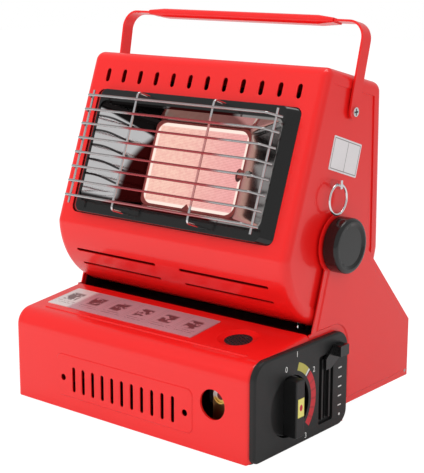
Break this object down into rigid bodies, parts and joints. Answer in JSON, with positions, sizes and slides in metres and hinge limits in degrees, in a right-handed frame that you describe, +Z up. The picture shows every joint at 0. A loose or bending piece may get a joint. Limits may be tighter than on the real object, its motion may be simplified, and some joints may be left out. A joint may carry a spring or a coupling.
{
  "type": "portable gas heater",
  "caption": "Table-top radiant gas heater: a guarded ceramic burner in a tilting sheet-metal head with a bail handle, on a base that holds a gas cartridge.",
  "frame": {"origin": "on the floor at the centre of the base's footprint", "axes": "+X to the right seen from the front, +Y from the burner side to the back, +Z up"},
  "size_m": [0.2858, 0.2298, 0.3341],
  "materials": {
    "red_paint": "gloss",
    "black_paint": "satin",
    "bright_steel": "polished",
    "chrome_wire": "polished",
    "plain_steel": "satin",
    "brass_fitting": "satin",
    "black_plastic": "satin",
    "red_plastic": "satin",
    "ceramic": "matte",
    "white_ceramic": "satin",
    "rubber_feet": "matte",
    "rubber_lead": "matte",
    "printed_plate": "matte"
  },
  "bodies": {
    "base": {"base_shell": "red_paint", "base_floor": "black_paint", "floor_screws": "plain_steel", "front_feet": "rubber_feet", "rear_feet": "rubber_feet", "instruction_plate": "printed_plate", "vent_mesh": "plain_steel", "arm_right": "red_paint", "arm_left": "red_paint", "heat_shield": "black_paint", "door_pin": "plain_steel", "control_panel": "black_plastic", "valve_body": "brass_fitting", "valve_cap": "brass_fitting", "valve_bracket": "plain_steel", "regulator_body": "brass_fitting", "regulator_bracket": "plain_steel", "supply_pipe": "plain_steel", "burner_pipe": "plain_steel", "piezo_igniter": "black_plastic", "igniter_lead": "rubber_lead", "cartridge_cradle": "plain_steel", "pusher_guides": "plain_steel"},
    "head": {"head_shell": "red_paint", "side_pan_right": "red_paint", "side_pan_left": "red_paint", "back_cover": "black_paint", "cover_screws": "plain_steel", "window_bezel": "black_paint", "reflector": "bright_steel", "guard_wires": "chrome_wire", "guard_bars": "chrome_wire", "burner_frame": "bright_steel", "ceramic_plaque": "ceramic", "burner_box": "plain_steel", "burner_bracket": "plain_steel", "gas_swivel": "brass_fitting", "gas_jet": "brass_fitting", "venturi_tube": "plain_steel", "electrode": "white_ceramic", "electrode_lead": "rubber_lead", "weld_nuts": "plain_steel", "tilt_washers": "plain_steel", "handle_screws": "chrome_wire", "side_plate": "printed_plate", "ring_lug": "chrome_wire"},
    "handle": {"handle_strip": "red_paint", "handle_grip": "red_plastic"},
    "clamp_right": {"clamp_knob_right": "black_plastic", "clamp_stud_right": "plain_steel"},
    "clamp_left": {"clamp_knob_left": "black_plastic", "clamp_stud_left": "plain_steel"},
    "gas_knob": {"control_knob": "black_plastic", "valve_stem": "plain_steel"},
    "lever": {"lock_lever": "black_plastic"},
    "pusher": {"cartridge_pusher": "plain_steel"},
    "door": {"cartridge_door": "red_paint"},
    "ring": {"split_ring": "chrome_wire"}
  },
  "joints": [
    {"name": "head_tilt", "type": "hinge", "parent": "base", "child": "head", "pos_m": [0, -0.0009, 0.1563], "axis": [-1, 0, 0], "range_deg": [-12, 55]},
    {"name": "handle_swing", "type": "hinge", "parent": "head", "child": "handle", "pos_m": [0, 0.02, 0.26], "axis": [-1, 0, 0], "range_deg": [-75, 110]},
    {"name": "clamp_right_turn", "type": "hinge", "parent": "head", "child": "clamp_right", "pos_m": [0.136, -0.0009, 0.1563], "axis": [1, 0, 0], "range_deg": [-360, 0]},
    {"name": "clamp_left_turn", "type": "hinge", "parent": "head", "child": "clamp_left", "pos_m": [-0.136, -0.0009, 0.1563], "axis": [-1, 0, 0], "range_deg": [-360, 0]},
    {"name": "gas_knob_turn", "type": "hinge", "parent": "base", "child": "gas_knob", "pos_m": [0.13, -0.0695, 0.04], "axis": [1, 0, 0], "range_deg": [0, 150]},
    {"name": "lever_slide", "type": "slide", "parent": "base", "child": "lever", "axis": [0, 0, -1], "range_m": [0, 0.038]},
    {"name": "pusher_slide", "type": "slide", "parent": "base", "child": "pusher", "axis": [1, 0, 0], "range_m": [0, 0.005]},
    {"name": "door_hinge", "type": "hinge", "parent": "base", "child": "door", "pos_m": [0, 0.1109, 0.0215], "axis": [-1, 0, 0], "range_deg": [0, 95]},
    {"name": "ring_swing", "type": "hinge", "parent": "head", "child": "ring", "pos_m": [0.1308, -0.0055, 0.2055], "axis": [0, -1, 0], "range_deg": [0, 100]}
  ],
  "couplings": [
    {"joint": "pusher_slide", "follows": "lever_slide", "ratio": 0.1315}
  ]
}
